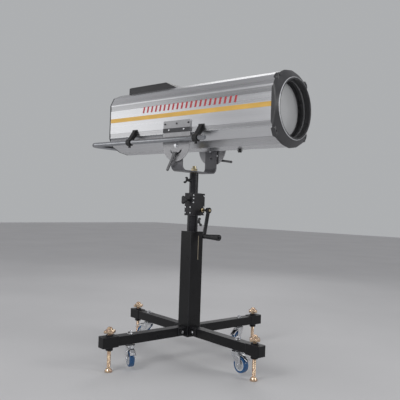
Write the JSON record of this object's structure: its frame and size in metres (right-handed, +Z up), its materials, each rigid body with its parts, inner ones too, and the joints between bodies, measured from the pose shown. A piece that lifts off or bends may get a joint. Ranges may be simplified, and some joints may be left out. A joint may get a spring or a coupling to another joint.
{
  "type": "follow spot",
  "caption": "Follow spot lamp head with a rear push handle, held in a yoke on a crank-up mast with a square post, spread legs, screw jacks and braked casters.",
  "frame": {"origin": "on the floor, on the mast's axis, at the centre of the four jack feet", "axes": "+X is where the lamp head points at rest, +Y is its left side, +Z is up"},
  "size_m": [1.2255, 1.025, 1.446],
  "materials": {
    "black_powder_coat": "satin",
    "black_casting": "satin",
    "zinc": "satin",
    "gold_zinc": "satin",
    "caster_wheel": "gloss",
    "mast_tube": "satin",
    "winch_casting": "satin",
    "crank_brass": "satin",
    "crank_black": "satin",
    "black_plastic": "matte",
    "yoke_paint": "satin",
    "shell_aluminium": "satin",
    "ring_plastic": "matte",
    "barrel_black": "matte",
    "lens_glass": "gloss",
    "bar_chrome": "gloss",
    "hood_paint": "satin",
    "heat_sink": "satin",
    "switch_red": "gloss"
  },
  "bodies": {
    "stand": {"post": "black_powder_coat", "leg_end_blocks": "black_casting", "leg_fasteners": "zinc", "leg_front": "black_powder_coat", "leg_left": "black_powder_coat", "leg_rear": "black_powder_coat", "leg_right": "black_powder_coat"},
    "jack_foot_front": {"jack_foot_front": "gold_zinc"},
    "jack_screw_front": {"jack_screw_front": "gold_zinc"},
    "caster_front": {"caster_fork_front": "zinc"},
    "caster_wheel_front": {"caster_wheel_front": "caster_wheel"},
    "caster_brake_front": {"caster_brake_front": "zinc"},
    "jack_foot_left": {"jack_foot_left": "gold_zinc"},
    "jack_screw_left": {"jack_screw_left": "gold_zinc"},
    "caster_left": {"caster_fork_left": "zinc"},
    "caster_wheel_left": {"caster_wheel_left": "caster_wheel"},
    "caster_brake_left": {"caster_brake_left": "zinc"},
    "jack_foot_rear": {"jack_foot_rear": "gold_zinc"},
    "jack_screw_rear": {"jack_screw_rear": "gold_zinc"},
    "caster_rear": {"caster_fork_rear": "zinc"},
    "caster_wheel_rear": {"caster_wheel_rear": "caster_wheel"},
    "caster_brake_rear": {"caster_brake_rear": "zinc"},
    "jack_foot_right": {"jack_foot_right": "gold_zinc"},
    "jack_screw_right": {"jack_screw_right": "gold_zinc"},
    "caster_right": {"caster_fork_right": "zinc"},
    "caster_wheel_right": {"caster_wheel_right": "caster_wheel"},
    "caster_brake_right": {"caster_brake_right": "zinc"},
    "lower_mast": {"mast_lower_tube": "mast_tube", "winch_housing": "winch_casting", "winch_screws": "zinc"},
    "crank": {"crank_shaft": "crank_brass", "crank_arm": "crank_black"},
    "crank_grip": {"crank_grip": "black_plastic"},
    "housing_knob": {"housing_knob": "black_plastic"},
    "post_wing_knob": {"post_wing_knob": "crank_black"},
    "upper_mast": {"mast_upper_tube": "mast_tube"},
    "upper_wing_screw": {"upper_wing_screw": "crank_black"},
    "yoke": {"yoke": "yoke_paint", "yoke_bolts": "gold_zinc"},
    "tilt_lever_right": {"tilt_lever_right": "black_plastic"},
    "tilt_lever_left": {"tilt_lever_left": "black_plastic"},
    "head": {"upper_shell": "shell_aluminium", "lower_shell": "shell_aluminium", "front_ring": "ring_plastic", "head_screws": "crank_black", "lens_barrel": "barrel_black", "front_lens": "lens_glass", "bracket_right": "yoke_paint", "bracket_left": "yoke_paint", "bar_clamps": "black_plastic", "top_hood": "hood_paint", "rear_cap": "hood_paint", "power_inlet": "black_plastic", "led_engine": "heat_sink"},
    "handle": {"handle_bar": "bar_chrome"},
    "focus": {"lens_carriage": "barrel_black", "focus_knob": "black_plastic"},
    "iris": {"iris_lever": "black_plastic"},
    "fan": {"fan_rotor": "black_plastic"},
    "switch": {"power_switch": "switch_red"}
  },
  "joints": [
    {"name": "jack_front_lift", "type": "slide", "parent": "stand", "child": "jack_foot_front", "axis": [0, 0, 1], "range_m": [0, 0.05]},
    {"name": "jack_front_turn", "type": "hinge", "parent": "jack_foot_front", "child": "jack_screw_front", "pos_m": [0.46384, -0.08179, 0.1], "axis": [0, 0, 1], "range_deg": [-1, 4501]},
    {"name": "caster_front_swivel", "type": "hinge", "parent": "stand", "child": "caster_front", "pos_m": [0.35453, -0.06251, 0.108], "axis": [0, 0, 1], "continuous": true},
    {"name": "caster_front_roll", "type": "hinge", "parent": "caster_front", "child": "caster_wheel_front", "pos_m": [0.3821, -0.06738, 0.052], "axis": [0.1736, 0.9848, 0], "continuous": true},
    {"name": "caster_front_brake_press", "type": "hinge", "parent": "caster_front", "child": "caster_brake_front", "pos_m": [0.37423, -0.06599, 0.0955], "axis": [0.1736, 0.9848, 0], "range_deg": [0, 8]},
    {"name": "jack_left_lift", "type": "slide", "parent": "stand", "child": "jack_foot_left", "axis": [0, 0, 1], "range_m": [0, 0.05]},
    {"name": "jack_left_turn", "type": "hinge", "parent": "jack_foot_left", "child": "jack_screw_left", "pos_m": [0.08179, 0.46384, 0.1], "axis": [0, 0, 1], "range_deg": [-1, 4501]},
    {"name": "caster_left_swivel", "type": "hinge", "parent": "stand", "child": "caster_left", "pos_m": [0.06251, 0.35453, 0.108], "axis": [0, 0, 1], "continuous": true},
    {"name": "caster_left_roll", "type": "hinge", "parent": "caster_left", "child": "caster_wheel_left", "pos_m": [0.06738, 0.32696, 0.052], "axis": [0.9848, 0.1736, 0], "continuous": true},
    {"name": "caster_left_brake_press", "type": "hinge", "parent": "caster_left", "child": "caster_brake_left", "pos_m": [0.06599, 0.33483, 0.0955], "axis": [0.9848, 0.1736, 0], "range_deg": [0, 8]},
    {"name": "jack_rear_lift", "type": "slide", "parent": "stand", "child": "jack_foot_rear", "axis": [0, 0, 1], "range_m": [0, 0.05]},
    {"name": "jack_rear_turn", "type": "hinge", "parent": "jack_foot_rear", "child": "jack_screw_rear", "pos_m": [-0.46384, 0.08179, 0.1], "axis": [0, 0, 1], "range_deg": [-1, 4501]},
    {"name": "caster_rear_swivel", "type": "hinge", "parent": "stand", "child": "caster_rear", "pos_m": [-0.35453, 0.06251, 0.108], "axis": [0, 0, 1], "continuous": true},
    {"name": "caster_rear_roll", "type": "hinge", "parent": "caster_rear", "child": "caster_wheel_rear", "pos_m": [-0.38084, 0.05294, 0.052], "axis": [0.342, -0.9397, 0], "continuous": true},
    {"name": "caster_rear_brake_press", "type": "hinge", "parent": "caster_rear", "child": "caster_brake_rear", "pos_m": [-0.37333, 0.05567, 0.0955], "axis": [0.342, -0.9397, 0], "range_deg": [0, 8]},
    {"name": "jack_right_lift", "type": "slide", "parent": "stand", "child": "jack_foot_right", "axis": [0, 0, 1], "range_m": [0, 0.05]},
    {"name": "jack_right_turn", "type": "hinge", "parent": "jack_foot_right", "child": "jack_screw_right", "pos_m": [-0.08179, -0.46384, 0.1], "axis": [0, 0, 1], "range_deg": [-1, 4501]},
    {"name": "caster_right_swivel", "type": "hinge", "parent": "stand", "child": "caster_right", "pos_m": [-0.06251, -0.35453, 0.108], "axis": [0, 0, 1], "continuous": true},
    {"name": "caster_right_roll", "type": "hinge", "parent": "caster_right", "child": "caster_wheel_right", "pos_m": [-0.03827, -0.36853, 0.052], "axis": [0.5, 0.866, 0], "continuous": true},
    {"name": "caster_right_brake_press", "type": "hinge", "parent": "caster_right", "child": "caster_brake_right", "pos_m": [-0.04519, -0.36453, 0.0955], "axis": [0.5, 0.866, 0], "range_deg": [0, 8]},
    {"name": "lower_mast_slide", "type": "slide", "parent": "stand", "child": "lower_mast", "axis": [0, 0, 1], "range_m": [-0.015, 0.26]},
    {"name": "mast_lift", "type": "slide", "parent": "lower_mast", "child": "upper_mast", "axis": [0, 0, 1], "range_m": [-0.03, 0.35]},
    {"name": "crank_turn", "type": "hinge", "parent": "lower_mast", "child": "crank", "pos_m": [0.05523, 0.02529, 0.756], "axis": [0.9848, -0.1736, 0], "range_deg": [-1433, 123]},
    {"name": "crank_grip_spin", "type": "hinge", "parent": "crank", "child": "crank_grip", "pos_m": [0.13966, -0.01416, 0.6242], "axis": [0.9848, -0.1736, 0], "continuous": true},
    {"name": "housing_knob_turn", "type": "hinge", "parent": "lower_mast", "child": "housing_knob", "pos_m": [-0.00868, -0.04924, 0.806], "axis": [0.1736, 0.9848, 0], "continuous": true},
    {"name": "post_wing_knob_turn", "type": "hinge", "parent": "lower_mast", "child": "post_wing_knob", "pos_m": [0.00781, 0.04432, 0.694], "axis": [0.1736, 0.9848, 0], "continuous": true},
    {"name": "upper_wing_screw_turn", "type": "hinge", "parent": "upper_mast", "child": "upper_wing_screw", "pos_m": [-0.00781, -0.04432, 0.908], "axis": [0.1736, 0.9848, 0], "continuous": true},
    {"name": "pan", "type": "hinge", "parent": "upper_mast", "child": "yoke", "pos_m": [0, 0, 0.95], "axis": [0, 0, 1], "continuous": true},
    {"name": "tilt", "type": "hinge", "parent": "yoke", "child": "head", "pos_m": [0, 0, 1.076], "axis": [0, 1, 0], "range_deg": [-45, 45]},
    {"name": "tilt_lever_right_turn", "type": "hinge", "parent": "yoke", "child": "tilt_lever_right", "pos_m": [0, -0.155, 1.032], "axis": [0, 1, 0], "range_deg": [-50, 50]},
    {"name": "tilt_lever_left_turn", "type": "hinge", "parent": "yoke", "child": "tilt_lever_left", "pos_m": [0, 0.155, 1.032], "axis": [0, 1, 0], "range_deg": [-10, 60]},
    {"name": "handle_slide", "type": "slide", "parent": "head", "child": "handle", "axis": [1, 0, 0], "range_m": [-0.03, 0.07]},
    {"name": "focus_slide", "type": "slide", "parent": "head", "child": "focus", "axis": [1, 0, 0], "range_m": [-0.04, 0.04]},
    {"name": "iris_swing", "type": "hinge", "parent": "head", "child": "iris", "pos_m": [-0.22, 0, 1.325], "axis": [0, 1, 0], "range_deg": [-18, 18]},
    {"name": "fan_spin", "type": "hinge", "parent": "head", "child": "fan", "pos_m": [-0.47, 0, 1.229], "axis": [1, 0, 0], "continuous": true},
    {"name": "switch_rock", "type": "hinge", "parent": "head", "child": "switch", "pos_m": [-0.509, 0.08, 1.126], "axis": [0, 1, 0], "range_deg": [-8, 0]}
  ],
  "couplings": [
    {"joint": "jack_front_turn", "follows": "jack_front_lift", "rad_per_m": 1570.8},
    {"joint": "jack_left_turn", "follows": "jack_left_lift", "rad_per_m": 1570.8},
    {"joint": "jack_rear_turn", "follows": "jack_rear_lift", "rad_per_m": 1570.8},
    {"joint": "jack_right_turn", "follows": "jack_right_lift", "rad_per_m": 1570.8},
    {"joint": "crank_turn", "follows": "mast_lift", "rad_per_m": -71.429}
  ]
}
